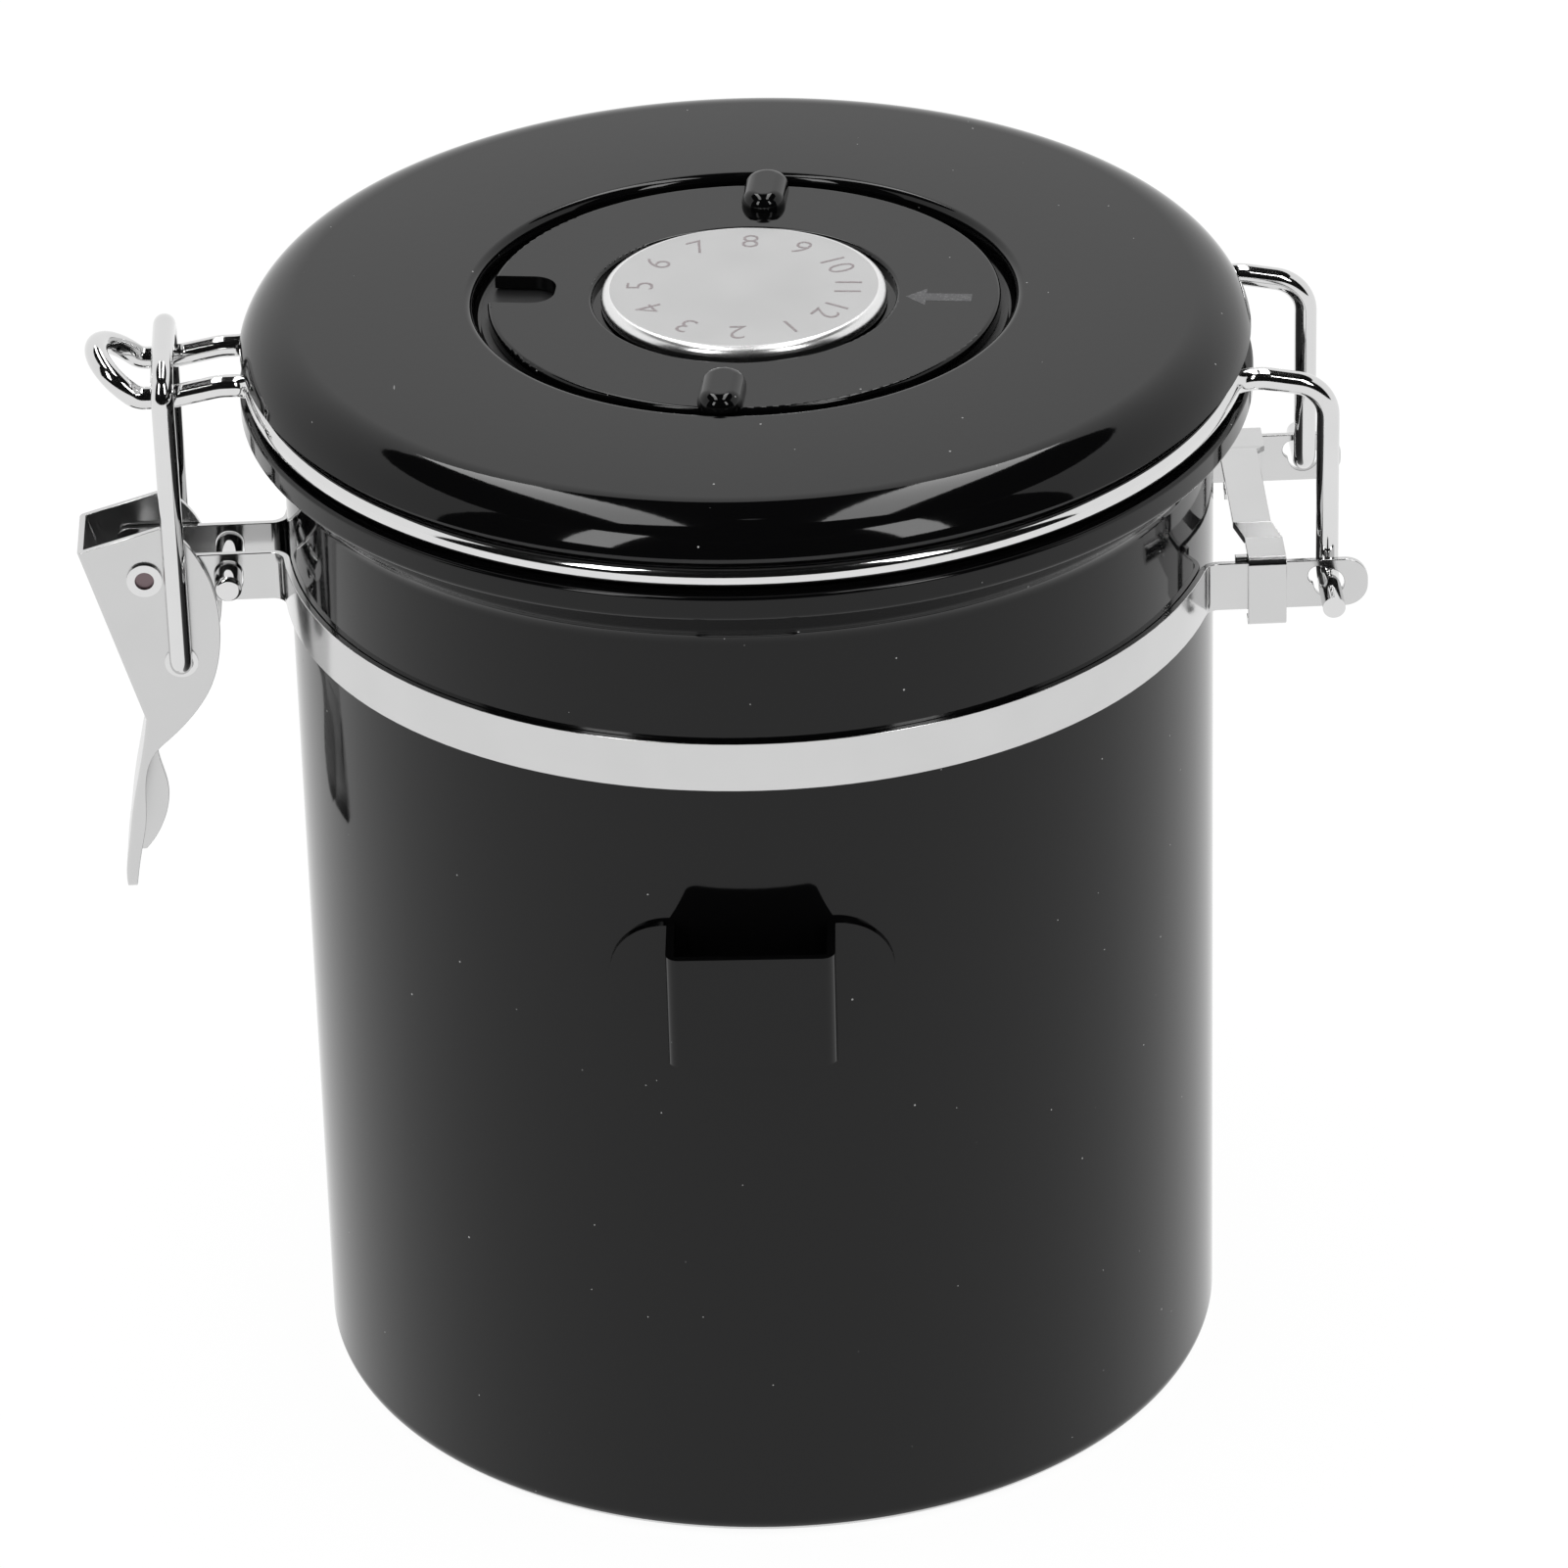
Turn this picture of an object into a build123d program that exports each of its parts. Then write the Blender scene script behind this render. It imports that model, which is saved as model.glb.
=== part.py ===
from build123d import *
from math import asin, cos, degrees, radians, sin, sqrt
import os

# Coffee canister with a clamp lid, a date dial and a one-way gas valve in the lid.
# All sizes are in millimetres. +Z is up and the origin is the centre of the underside.
# The latch is on the -X side, the hinge on the +X side and the scoop bracket faces -Y.

# Canister body
body_radius = 57.5
body_wall = 0.8
base_corner = 2.5
neck_bend = 3.0
rim_top = 135.5
rim_flare = 4.9
rim_tall = 2.8
rim_rise = 4.8
rim_foot_bend = 0.8
rim_bend = 0.45

# Scoop bracket on the front
bracket_turn = -2.7
bracket_drop = 29.3
bracket_width = 34.4
bracket_tall = 14.8
bracket_sheet = 1.0
pocket_width = 20.3
pocket_standoff = 8.5
pocket_bend = 1.6

# Clamp band, two half bands of flat strip with turned-out ears
band_sheet = 0.8
band_tall = 6.4
band_drop = 17.3
band_fit = 0.05
latch_ear_offset = 4.0
latch_ear_bend = 2.2
latch_ear_margin = 3.6
latch_ear_corner = 1.5
hinge_ear_offset = 17.1
hinge_ear_bend = 2.2
hinge_ear_margin = 4.8
hinge_ear_corner = 2.8

# Tension pin
pin_stand = 7.5
pin_rise = 0.4
pin_radius = 1.7
pin_front_stand = 4.4
pin_rear_stand = 1.6
pin_round = 0.6
pin_fit = 0.05
pin_slot_tall = 4.6

# Hinge clip
clip_stand = 5.35
clip_width = 4.7
clip_sheet = 0.8
clip_fit = 0.05
clip_bend = 0.7
clip_drop = 2.1
clip_hook = 1.9
clip_ledge = 5.5
clip_slope = 2.6
clip_rise = 0.9
clip_jog = 1.2
clip_flap_stand = 1.5
clip_flap_tall = 6.0

# Latch lever
pivot_stand = 14.8
pivot_rise = 0.7
pivot_radius = 1.6
pivot_flange_radius = 2.2
pivot_flange = 0.44
pivot_recess_radius = 1.2
pivot_recess_depth = 0.4
lever_half_width = 5.45
lever_sheet = 0.8
lever_reach = 9.0
lever_drop = 44.25
lever_fold = 0.55
tail_corner = 1.8
shaft_fit = 0.06

# Wires
wire_radius = 1.4
wire_fit = 0.08
eyelet_advance = 3.9
eyelet_drop = 11.7
eyelet_radius = 1.8
eyelet_flange_radius = 2.07
eyelet_flange = 0.28
bail_foot_half_width = 7.2
bail_foot_bend = 1.8
bail_inner_end = 3.4
bail_half_width = 9.6
bail_top_bend = 3.8
hook_clearance = 1.25
ring_inset = 1.5
ring_rise = 0.7
loop_half_width = 5.6
loop_merge_bend = 3.0
loop_drop = 1.2
loop_drop_shares = (0.15, 0.72)
loop_drop_bend = 7.0
tip_start_gap = 0.9
tip_lift_angle = 40.0
tip_lift_bend = 2.5
leg_half_width = 14.6
leg_stand = 9.9
leg_merge_bend = 4.0
leg_run = 0.74
leg_drop = 1.5
leg_drop_bend = 7.0
leg_top_bend = 4.6
leg_foot_bend = 2.4
leg_end = 24.0
leg_hole_radius = 1.9
leg_lobe_width = 2.6
leg_lobe_reach = 1.7
leg_lobe_angle = 140.0

# Lid cover
lid_inset = 0.3
lid_rise = 9.6
lid_wall = 0.8
lid_edge_width = 6.9
lid_edge_drop = 4.7
recess_radius = 33.4
recess_depth = 3.2
recess_ledge = 3.4
recess_edge_bend = 1.0
recess_foot_bend = 0.9

# Lid base
plate_thickness = 1.5
plate_top_gap = 0.3
plate_inset = 1.2
skirt_inset = 1.0
skirt_wall = 1.0
skirt_gap = 0.4
groove_fit = 0.05
gasket_width = 3.0
gasket_gap = 0.3
gasket_round = 0.6
inner_skirt_wall = 1.2
inner_skirt_gap = 0.8
plug_play = 6.9
plug_wall = 2.0
plug_depth = 2.3

# Date dial
bed_fit = 0.1
bed_thickness = 0.8
boss_radius = 15.5
boss_height = 1.0
ring_gap = 0.3
dial_ring_radius = 31.5
dial_ring_bore = 18.7
dial_ring_lip_bore = 15.8
dial_ring_lip = 0.6
dial_ring_drop = 0.4
dial_ring_edge = 0.5
dial_turn = -7.5
nub_inner = 23.0
nub_outer = 33.0
nub_width = 5.5
nub_height = 2.0
nub_round = 1.7
slot_inner = 23.3
slot_width = 7.5
slot_corner = 3.0
disc_radius = 17.6
disc_gap = 0.2
disc_proud = 0.6
disc_edge = 1.2
stem_radius = 2.0
stem_fit = 0.05
stem_gap = 0.2
disc_clip_radius = 4.0
disc_clip_thickness = 0.5
disc_clip_gap = 0.2

# Screws that clamp base, cover and bed
screw_count = 3
screw_circle = 24.0
screw_radius = 1.25
screw_head_radius = 2.6
screw_head_height = 1.3
screw_recess_depth = 0.6
screw_recess_width = 0.8
screw_tip_gap = 0.4
post_radius = 3.2

# One-way valve in the lid base
valve_reach = 28.0
valve_bore = 6.9
valve_wall = 1.1
valve_flange_radius = 10.5
valve_flange = 1.6
valve_seat = 0.8
valve_seat_drop = 2.9
valve_skirt = 5.9
vent_count = 6
vent_circle = 3.2
vent_radius = 0.9
flap_radius = 5.6
flap_thickness = 0.8
flap_travel = 0.4
flap_spare = 0.1
cap_roof = 0.8
cap_wall = 0.8
filter_thickness = 1.0
grille_thickness = 1.0
grille_slot_count = 8
grille_slot_circle = 3.9
grille_slot_length = 3.2
grille_slot_width = 1.0
oring_radius = 9.2
oring_section = 0.45

# One overrun serves every cut that goes right through
overrun = 5.0

# Levels and places that several pieces share
rim_radius = body_radius + rim_flare
rim_foot_height = rim_top - rim_tall
neck_height = rim_foot_height - rim_rise
band_height = neck_height - band_drop
bracket_height = band_height - bracket_drop
lid_radius = rim_radius - lid_inset
lid_top = rim_top + lid_rise
ring_radius = lid_radius - ring_inset
leg_reach = ring_radius + leg_stand
pivot_reach = ring_radius + pivot_stand
ring_height = rim_top + ring_rise + wire_radius
loop_height = ring_height - loop_drop
hook_height = loop_height + 2 * wire_radius + hook_clearance
plate_foot = ring_height + wire_radius + plate_top_gap
plate_top = plate_foot + plate_thickness
recess_floor = lid_top - recess_depth
bed_top = recess_floor + bed_thickness
boss_top = bed_top + boss_height
disc_foot = boss_top + disc_gap
disc_top = lid_top + disc_proud
dial_ring_foot = bed_top + ring_gap
dial_ring_top = lid_top - dial_ring_drop
pivot_height = band_height + pivot_rise
eyelet_reach = pivot_reach - eyelet_advance
eyelet_height = pivot_height - eyelet_drop
band_line = body_radius + band_fit + band_sheet / 2
band_foot = band_height - band_tall / 2
ear_top = band_height + band_tall / 2
channel_half_width = lever_half_width - lever_sheet

os.makedirs("parts", exist_ok=True)


def save(builder, name):
    """Label a finished piece and write it to its own file."""
    builder.part.label = name
    export_step(builder.part, f"parts/{name}.step")


def arc_about(centre, start_way, end_way, radius, angle):
    """An arc about a centre that leaves start_way and turns towards end_way."""
    places = []
    for turn in (0, radians(angle) / 2, radians(angle)):
        places.append(centre + start_way * (radius * cos(turn)) + end_way * (radius * sin(turn)))
    return ThreePointArc(*places)


# Canister body: up the outside, over the solid rim and down the inside
with BuildPart() as canister_body:
    with BuildSketch(Plane.XZ):
        with BuildLine():
            shell = FilletPolyline(
                (0, 0),
                (body_radius, 0),
                (body_radius, neck_height),
                (rim_radius, rim_foot_height),
                (rim_radius, rim_top),
                (body_radius - body_wall, rim_top),
                (body_radius - body_wall, body_wall),
                (0, body_wall),
                radius=[
                    base_corner,
                    neck_bend,
                    rim_foot_bend,
                    rim_bend,
                    rim_bend,
                    base_corner - body_wall,
                ],
            )
            Line(shell @ 1, shell @ 0)
        make_face()
    revolve(axis=Axis.Z)
save(canister_body, "canister_body")

# Scoop bracket: a hat section drawn from above, trimmed to a slot outline from the front
bracket_plane = Plane.XY.rotated((0, 0, bracket_turn))
bracket_floor = bracket_plane.offset(bracket_height - bracket_tall / 2)
bracket_front = Plane(
    origin=(0, 0, bracket_height), x_dir=bracket_plane.x_dir, z_dir=-bracket_plane.y_dir
)
pocket_front = body_radius + pocket_standoff
with BuildSketch(bracket_floor) as pocket_hollow:
    Rectangle(
        pocket_width - 2 * bracket_sheet,
        pocket_front - bracket_sheet,
        align=(Align.CENTER, Align.MAX),
    )
    fillet(pocket_hollow.vertices().group_by(Axis.Y)[0], pocket_bend - bracket_sheet)
with BuildPart() as scoop_bracket:
    with BuildSketch(bracket_floor) as hat:
        Rectangle(pocket_width, pocket_front, align=(Align.CENTER, Align.MAX))
        fillet(hat.vertices().group_by(Axis.Y)[0], pocket_bend)
        Circle(body_radius + bracket_sheet)
        add(pocket_hollow.sketch_local, mode=Mode.SUBTRACT)
        Circle(body_radius, mode=Mode.SUBTRACT)
    extrude(amount=bracket_tall)
    with BuildSketch(bracket_front):
        SlotOverall(bracket_width, bracket_tall)
    extrude(amount=pocket_front + overrun, mode=Mode.INTERSECT)
save(scoop_bracket, "scoop_bracket")

# Front half band: ear, bend, half turn round the body, bend, ear
pin_reach = body_radius + pin_stand
latch_swing = degrees(asin((latch_ear_offset + latch_ear_bend) / (band_line + latch_ear_bend)))
hinge_swing = degrees(asin((hinge_ear_offset + hinge_ear_bend) / (band_line + hinge_ear_bend)))
latch_bend_reach = sqrt(
    (band_line + latch_ear_bend) ** 2 - (latch_ear_offset + latch_ear_bend) ** 2
)
lobe_turn = radians(leg_lobe_angle)
lobe_reach = leg_reach + leg_lobe_reach * cos(lobe_turn)
lobe_height = band_height + leg_lobe_reach * sin(lobe_turn)
with BuildPart() as band_front:
    with BuildSketch(Plane.XY.offset(band_foot)):
        with BuildLine():
            latch_ear = Line(
                (-pivot_reach - latch_ear_margin, -latch_ear_offset),
                (-latch_bend_reach, -latch_ear_offset),
            )
            latch_turn = JernArc(latch_ear @ 1, latch_ear % 1, latch_ear_bend, latch_swing - 90)
            round_body = JernArc(
                latch_turn @ 1, latch_turn % 1, band_line, 180 - latch_swing - hinge_swing
            )
            hinge_turn = JernArc(round_body @ 1, round_body % 1, hinge_ear_bend, hinge_swing - 90)
            Line(hinge_turn @ 1, (leg_reach + hinge_ear_margin, -hinge_ear_offset))
        trace(line_width=band_sheet)
    extrude(amount=band_tall)
    ear_ends = band_front.edges().filter_by(Axis.Y).group_by(Axis.X)
    fillet(ear_ends[-1], hinge_ear_corner)
    fillet(ear_ends[0], latch_ear_corner)
    with BuildSketch(Plane.XZ):
        with Locations((-pivot_reach, pivot_height)):
            Circle(pivot_radius)
        with Locations((-pin_reach, band_height)):
            SlotOverall(pin_slot_tall, 2 * (pin_radius + pin_fit), rotation=90)
        with Locations((leg_reach, band_height)):
            Circle(leg_hole_radius)
        with Locations((lobe_reach, lobe_height)):
            Circle(leg_lobe_width / 2)
    extrude(amount=hinge_ear_offset + overrun, mode=Mode.SUBTRACT)
save(band_front, "band_front")

# Rear half band, the mirror image
with BuildPart() as band_rear:
    mirror(band_front.part, about=Plane.XZ)
save(band_rear, "band_rear")

# Tension pin through the slots of both latch ears
ear_outer = latch_ear_offset + band_sheet / 2
with BuildPart() as tension_pin:
    with BuildSketch(Plane.XZ.offset(-(ear_outer + pin_rear_stand))):
        with Locations((-pin_reach, band_height + pin_rise)):
            Circle(pin_radius)
    extrude(amount=2 * ear_outer + pin_rear_stand + pin_front_stand)
    fillet(tension_pin.edges().filter_by(GeomType.CIRCLE), pin_round)
save(tension_pin, "tension_pin")

# Hinge clip: a strip seen from the latch side, trimmed to its jogged outline from above
clip_outer = hinge_ear_offset + band_sheet / 2 + clip_fit + clip_sheet / 2
clip_inner = hinge_ear_offset - band_sheet / 2 - clip_fit - clip_sheet / 2
clip_level = ear_top + clip_fit + clip_sheet / 2
clip_foot = band_foot - clip_drop + clip_sheet / 2
ledge_end = clip_outer - clip_ledge
slope_end = ledge_end - clip_slope
clip_near = body_radius + clip_stand - clip_width / 2
clip_far = clip_near + clip_width
with BuildPart() as hinge_clip:
    with BuildSketch(Plane.YZ.offset(clip_near - clip_jog)):
        with BuildLine():
            FilletPolyline(
                (-clip_outer + clip_hook, clip_foot),
                (-clip_outer, clip_foot),
                (-clip_outer, clip_level),
                (-ledge_end, clip_level),
                (-slope_end, clip_level + clip_rise),
                (slope_end, clip_level + clip_rise),
                (ledge_end, clip_level),
                (clip_outer, clip_level),
                (clip_outer, clip_foot),
                (clip_outer - clip_hook, clip_foot),
                radius=[clip_bend] * 8,
            )
        trace(line_width=clip_sheet)
    extrude(amount=clip_width + clip_jog)
    with BuildSketch(Plane.XY.offset(clip_foot - clip_sheet)):
        with BuildLine():
            Polyline(
                (clip_near, -clip_outer - clip_sheet),
                (clip_far, -clip_outer - clip_sheet),
                (clip_far, -ledge_end),
                (clip_far - clip_jog, -slope_end),
                (clip_far - clip_jog, slope_end),
                (clip_far, ledge_end),
                (clip_far, clip_outer + clip_sheet),
                (clip_near, clip_outer + clip_sheet),
                (clip_near, ledge_end),
                (clip_near - clip_jog, slope_end),
                (clip_near - clip_jog, -slope_end),
                (clip_near, -ledge_end),
                close=True,
            )
        make_face()
    extrude(amount=clip_level + clip_rise + 2 * clip_sheet - clip_foot, mode=Mode.INTERSECT)
    with BuildSketch(Plane.YZ.offset(clip_near - clip_flap_stand)):
        with Locations((-clip_inner, clip_level), (clip_inner, clip_level)):
            Rectangle(clip_sheet, clip_flap_tall, align=(Align.CENTER, Align.MAX))
    extrude(amount=clip_flap_stand + clip_width)
save(hinge_clip, "hinge_clip")

# Latch lever. Outline points are shares of its reach and drop, measured from the pivot.
fold_top_share = (-0.903, 0.087)
fold_foot_share = (-0.114, -0.452)
top_corner_share = (0.242, 0.156)
belly_shares = [(0.543, 0.118), (0.751, 0.054), (0.911, -0.027), (0.993, -0.147)]
belly_shares += [(0.949, -0.261), (0.813, -0.352), (0.573, -0.431), (0.133, -0.525)]
tail_end_share = (-0.518, -1.0)
tail_shares = [(-0.536, -0.949), (-0.476, -0.857), (-0.401, -0.755), (-0.277, -0.631)]
rear_flange_shares = [(-0.05, -0.62), (-0.02, -0.70), (0.07, -0.785), (-0.02, -0.90)]
rear_flange_end_share = (-0.33, -1.0)
front_flange_shares = [(-0.114, -0.595), (-0.207, -0.772), (-0.310, -0.883)]
front_flange_end_share = (-0.40, -1.0)


def lever_point(shares, shift=0):
    """A point of the lever's side view, with X shifted towards the canister."""
    return (shares[0] * lever_reach + shift, shares[1] * lever_drop)


lever_side = Plane.XZ.shift_origin((-pivot_reach, 0, pivot_height))
fold_run = (fold_foot_share[0] - fold_top_share[0]) * lever_reach
fold_fall = (fold_top_share[1] - fold_foot_share[1]) * lever_drop
sheet_run = lever_sheet * sqrt(fold_run**2 + fold_fall**2) / fold_fall
cut_top = (
    lever_point(fold_top_share, sheet_run)[0] - overrun * fold_run / fold_fall,
    lever_point(fold_top_share)[1] + overrun,
)
with BuildPart() as latch_lever:
    with BuildSketch(lever_side.offset(-lever_half_width)):
        with BuildLine():
            Line(lever_point(fold_top_share), lever_point(top_corner_share))
            belly = Spline(
                lever_point(top_corner_share), *[lever_point(share) for share in belly_shares]
            )
            flange = Spline(
                belly @ 1,
                *[lever_point(share) for share in rear_flange_shares],
                lever_point(rear_flange_end_share),
            )
            Line(flange @ 1, lever_point(tail_end_share))
            tail = Spline(
                lever_point(tail_end_share),
                *[lever_point(share) for share in tail_shares],
                lever_point(fold_foot_share),
            )
            Line(tail @ 1, lever_point(fold_top_share))
        make_face()
    extrude(amount=2 * lever_half_width)
    back_faces = latch_lever.faces().filter_by(lambda face: face.normal_at().X < -cos(radians(45)))
    long_edge = 2 * lever_half_width + lever_sheet
    fillet(back_faces.edges().filter_by(lambda edge: edge.length > long_edge), lever_fold)
    with BuildSketch(lever_side.offset(-channel_half_width)):
        with BuildLine():
            Line(cut_top, lever_point(fold_foot_share, sheet_run))
            inner_tail = Spline(
                lever_point(fold_foot_share, sheet_run),
                *[lever_point(share, lever_sheet) for share in reversed(tail_shares)],
                lever_point(tail_end_share, lever_sheet),
            )
            inner_end = inner_tail @ 1
            Polyline(
                inner_end,
                (inner_end.X, inner_end.Y - overrun),
                (2 * lever_reach, inner_end.Y - overrun),
                (2 * lever_reach, cut_top[1]),
                cut_top,
            )
        make_face()
    extrude(amount=2 * channel_half_width, mode=Mode.SUBTRACT)
    with BuildSketch(lever_side):
        with BuildLine():
            front_flange = Spline(
                lever_point(belly_shares[-1]),
                *[lever_point(share) for share in front_flange_shares],
                lever_point(front_flange_end_share),
            )
            flange_end = front_flange @ 1
            Polyline(
                flange_end,
                (flange_end.X, flange_end.Y - overrun),
                (lever_reach, flange_end.Y - overrun),
                (lever_reach, lever_point(belly_shares[-1])[1]),
                lever_point(belly_shares[-1]),
            )
        make_face()
    extrude(amount=lever_half_width + overrun, mode=Mode.SUBTRACT)
    with BuildSketch(Plane.YZ.offset(-pivot_reach - 2 * lever_reach)):
        with Locations((0, pivot_height - lever_drop)):
            RectangleRounded(
                2 * lever_half_width, 2 * lever_drop, tail_corner, align=(Align.CENTER, Align.MIN)
            )
    extrude(amount=4 * lever_reach, mode=Mode.INTERSECT)
    with BuildSketch(lever_side.offset(-lever_half_width - overrun)):
        Circle(pivot_radius + shaft_fit)
        with Locations((eyelet_advance, -eyelet_drop)):
            Circle(eyelet_radius)
    extrude(amount=2 * (lever_half_width + overrun), mode=Mode.SUBTRACT)
save(latch_lever, "latch_lever")

# Pivot rivet of the lever, with a rolled flange and a shallow recess at each end
rivet_half = lever_half_width + shaft_fit + pivot_flange
with BuildPart() as lever_pivot:
    with BuildSketch(lever_side):
        Circle(pivot_radius)
    extrude(amount=rivet_half)
    with BuildSketch(lever_side.offset(rivet_half - pivot_flange)):
        Circle(pivot_flange_radius)
    extrude(amount=pivot_flange)
    with BuildSketch(lever_side.offset(rivet_half)):
        Circle(pivot_recess_radius)
    extrude(amount=-pivot_recess_depth, mode=Mode.SUBTRACT)
    mirror(about=Plane.XZ)
save(lever_pivot, "lever_pivot")

# Two eyelets that line the lever's holes for the bail
eyelet_side = Plane.XZ.shift_origin((-eyelet_reach, 0, eyelet_height))
with BuildPart() as bail_eyelets:
    with BuildSketch(eyelet_side.offset(channel_half_width)):
        Circle(eyelet_radius)
        Circle(wire_radius + wire_fit, mode=Mode.SUBTRACT)
    extrude(amount=lever_sheet)
    with BuildSketch(eyelet_side.offset(lever_half_width)):
        Circle(eyelet_flange_radius)
        Circle(wire_radius + wire_fit, mode=Mode.SUBTRACT)
    extrude(amount=eyelet_flange)
    mirror(about=Plane.XZ)
save(bail_eyelets, "bail_eyelets")

# Bail: foot in the lever, leg and half the crossbar, then the mirror image
with BuildPart() as latch_bail:
    with BuildLine() as bail_line:
        bail_path = FilletPolyline(
            (-eyelet_reach, -bail_inner_end, eyelet_height),
            (-eyelet_reach, -bail_foot_half_width, eyelet_height),
            (-eyelet_reach, -bail_half_width, hook_height),
            (-eyelet_reach, 0, hook_height),
            radius=[bail_foot_bend, bail_top_bend],
        )
    with BuildSketch(Plane(origin=bail_path @ 0, z_dir=bail_path % 0)):
        Circle(wire_radius)
    sweep(path=bail_line.wires()[0])
    mirror(about=Plane.XZ)
save(latch_bail, "latch_bail")

# Lid wire: hinge end, leg, ring, catch loop and lifted tip, then the mirror image
leg_swing = degrees(asin((leg_half_width + leg_merge_bend) / (ring_radius + leg_merge_bend)))
leg_merge = sqrt((ring_radius + leg_merge_bend) ** 2 - (leg_half_width + leg_merge_bend) ** 2)
loop_swing = degrees(asin((loop_half_width + loop_merge_bend) / (ring_radius + loop_merge_bend)))
loop_merge = sqrt((ring_radius + loop_merge_bend) ** 2 - (loop_half_width + loop_merge_bend) ** 2)
leg_way = radians(leg_swing)
loop_way = radians(loop_swing)
lift = radians(tip_lift_angle)
tip_start = eyelet_reach + wire_radius + tip_start_gap
loop_run = tip_start - loop_merge
slope_start = loop_merge + loop_drop_shares[0] * loop_run
slope_end = loop_merge + loop_drop_shares[1] * loop_run
with BuildPart() as lid_wire:
    with BuildLine() as wire_line:
        leg_path = FilletPolyline(
            (leg_reach, -leg_end, band_height),
            (leg_reach, -leg_half_width, band_height),
            (leg_reach, -leg_half_width, ring_height - leg_drop),
            (leg_merge + leg_run, -leg_half_width, ring_height),
            (leg_merge, -leg_half_width, ring_height),
            radius=[leg_foot_bend, leg_top_bend, leg_drop_bend],
        )
        arc_about(
            Vector(leg_merge, -(leg_half_width + leg_merge_bend), ring_height),
            Vector(0, 1, 0),
            Vector(-1, 0, 0),
            leg_merge_bend,
            90 - leg_swing,
        )
        arc_about(
            Vector(0, 0, ring_height),
            Vector(cos(leg_way), -sin(leg_way), 0),
            Vector(-sin(leg_way), -cos(leg_way), 0),
            ring_radius,
            180 - leg_swing - loop_swing,
        )
        arc_about(
            Vector(-loop_merge, -(loop_half_width + loop_merge_bend), ring_height),
            Vector(cos(loop_way), sin(loop_way), 0),
            Vector(-sin(loop_way), cos(loop_way), 0),
            loop_merge_bend,
            90 - loop_swing,
        )
        FilletPolyline(
            (-loop_merge, -loop_half_width, ring_height),
            (-slope_start, -loop_half_width, ring_height),
            (-slope_end, -loop_half_width, loop_height),
            (-tip_start, -loop_half_width, loop_height),
            radius=[loop_drop_bend, loop_drop_bend],
        )
        lift_turn = arc_about(
            Vector(-tip_start, -loop_half_width, loop_height + tip_lift_bend),
            Vector(0, 0, -1),
            Vector(-1, 0, 0),
            tip_lift_bend,
            tip_lift_angle,
        )
        arc_about(
            (lift_turn @ 1) + Vector(0, loop_half_width, 0),
            Vector(0, -1, 0),
            Vector(-cos(lift), 0, sin(lift)),
            loop_half_width,
            90,
        )
    with BuildSketch(Plane(origin=leg_path @ 0, z_dir=leg_path % 0)):
        Circle(wire_radius)
    sweep(path=wire_line.wires()[0])
    mirror(about=Plane.XZ)
save(lid_wire, "lid_wire")

# Lid cover: ledge and wall of the dial recess, flat top and rounded edge
lid_flat_radius = lid_radius - lid_edge_width
with BuildPart() as lid_cover:
    with BuildSketch(Plane.XZ):
        with BuildLine():
            cover_top = FilletPolyline(
                (recess_radius - recess_ledge, recess_floor),
                (recess_radius, recess_floor),
                (recess_radius, lid_top),
                (lid_flat_radius, lid_top),
                radius=[recess_foot_bend, recess_edge_bend],
            )
            TangentArc(
                cover_top @ 1, (lid_radius, lid_top - lid_edge_drop), tangent=cover_top % 1
            )
            offset(amount=lid_wall, side=Side.RIGHT)
        make_face()
    revolve(axis=Axis.Z)
save(lid_cover, "lid_cover")

# Lid base: plate, grooved skirt, gasket seat and plug ring
skirt_radius = ring_radius - skirt_inset
plug_radius = body_radius - body_wall - plug_play
skirt_inner = skirt_radius - skirt_wall
gasket_inner = skirt_inner - gasket_width
skirt_tall = plate_foot - rim_top - skirt_gap
with BuildPart() as lid_base:
    with BuildSketch(Plane.XY.offset(plate_foot)):
        Circle(lid_radius - plate_inset)
    extrude(amount=plate_thickness)
    with BuildSketch(Plane.XY.offset(plate_foot)):
        Circle(skirt_radius)
        Circle(skirt_inner, mode=Mode.SUBTRACT)
    extrude(amount=-skirt_tall)
    with BuildSketch(Plane.XY.offset(plate_foot)):
        Circle(gasket_inner)
        Circle(gasket_inner - inner_skirt_wall, mode=Mode.SUBTRACT)
    extrude(amount=inner_skirt_gap - skirt_tall)
    with BuildSketch(Plane.XY.offset(rim_top - plug_depth)):
        Circle(plug_radius)
        Circle(plug_radius - plug_wall, mode=Mode.SUBTRACT)
    extrude(amount=plate_foot - rim_top + plug_depth)
    with BuildSketch(Plane.XZ):
        with Locations((ring_radius, ring_height)):
            Circle(wire_radius + groove_fit)
    revolve(axis=Axis.Z, mode=Mode.SUBTRACT)
    with BuildSketch(Plane.XY.offset(plate_foot)):
        with Locations((-valve_reach, 0)):
            Circle(valve_bore + valve_wall)
        with PolarLocations(screw_circle, screw_count):
            Circle(screw_radius)
    extrude(amount=plate_thickness, mode=Mode.SUBTRACT)
save(lid_base, "lid_base")

# Gasket in its groove, rounded where it meets the rim
with BuildPart() as lid_gasket:
    with BuildSketch(Plane.XY.offset(rim_top + gasket_gap)):
        Circle(skirt_inner)
        Circle(gasket_inner, mode=Mode.SUBTRACT)
    extrude(amount=plate_foot - rim_top - gasket_gap)
    fillet(lid_gasket.faces().sort_by(Axis.Z)[0].edges(), gasket_round)
save(lid_gasket, "lid_gasket")

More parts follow.
